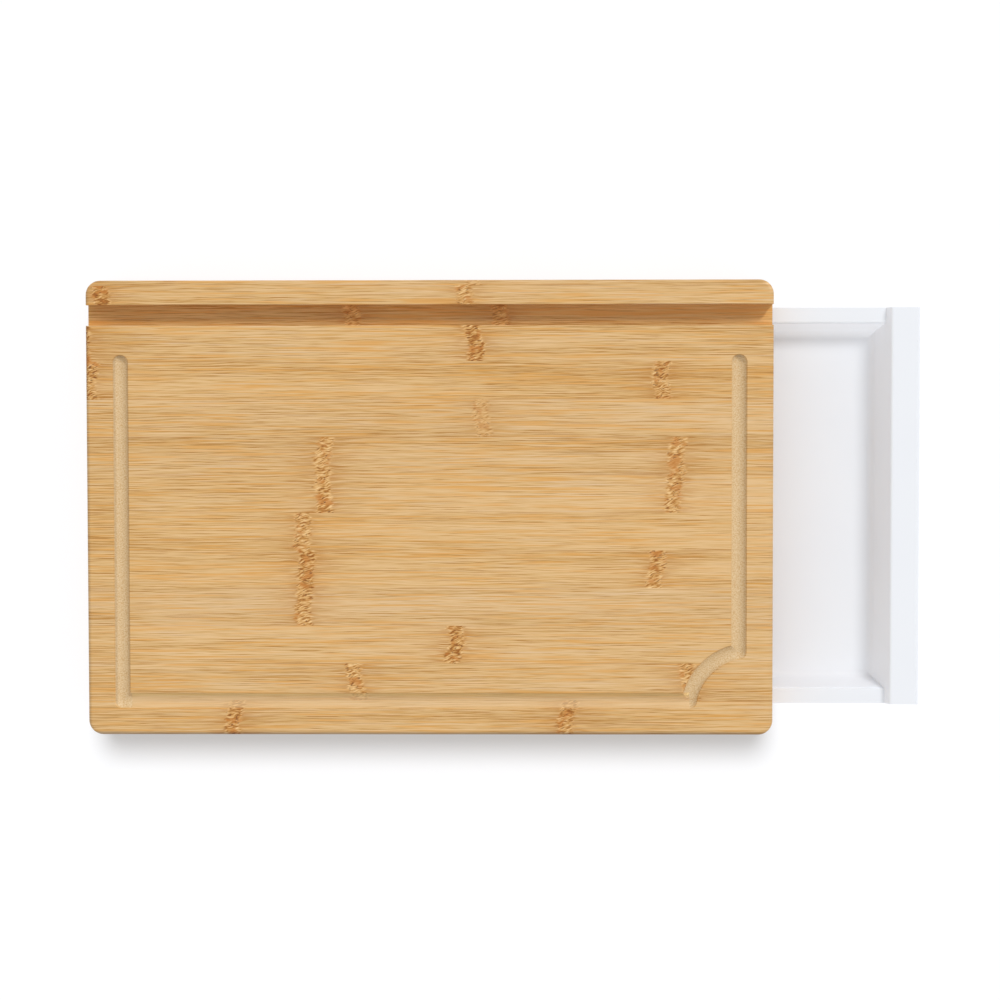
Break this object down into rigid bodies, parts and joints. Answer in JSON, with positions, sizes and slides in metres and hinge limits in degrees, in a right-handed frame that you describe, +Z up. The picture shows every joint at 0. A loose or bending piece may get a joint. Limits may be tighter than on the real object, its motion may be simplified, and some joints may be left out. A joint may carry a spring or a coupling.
{
  "type": "cutting board with tablet slot and drawer",
  "caption": "Bamboo cutting board with a tablet slot along its rear edge, a juice groove with a pouring corner, and a white tray that slides out of one end.",
  "frame": {"origin": "on the surface that the feet stand on, under the middle of the object's box with the drawer as pictured", "axes": "+X along the board towards the drawer's pull, +Y towards the tablet slot, +Z up"},
  "size_m": [0.463, 0.252, 0.046],
  "materials": {
    "bamboo_plate": "sanded and oiled bamboo, slats along the board",
    "bamboo_rail": "sanded and oiled bamboo, grain along the rail",
    "bamboo_end_rail": "sanded and oiled bamboo, grain across the board",
    "dowel": "plain turned wood",
    "foot": "matt dark rubber",
    "screw": "zinc-plated steel",
    "tray": "satin white moulded plastic"
  },
  "bodies": {
    "casing": {"cutting_plate": "bamboo_plate", "front_rail": "bamboo_rail", "rear_rail": "bamboo_rail", "end_rail": "bamboo_end_rail", "plate_dowels": "dowel", "corner_dowels": "dowel", "foot_front_left": "foot", "foot_front_right": "foot", "foot_rear_left": "foot", "foot_rear_right": "foot", "foot_screws": "screw"},
    "drawer": {"drawer_tray": "tray"}
  },
  "joints": [
    {"name": "drawer_slide", "type": "slide", "parent": "casing", "child": "drawer", "axis": [1, 0, 0], "range_m": [-0.083, 0.29]}
  ]
}
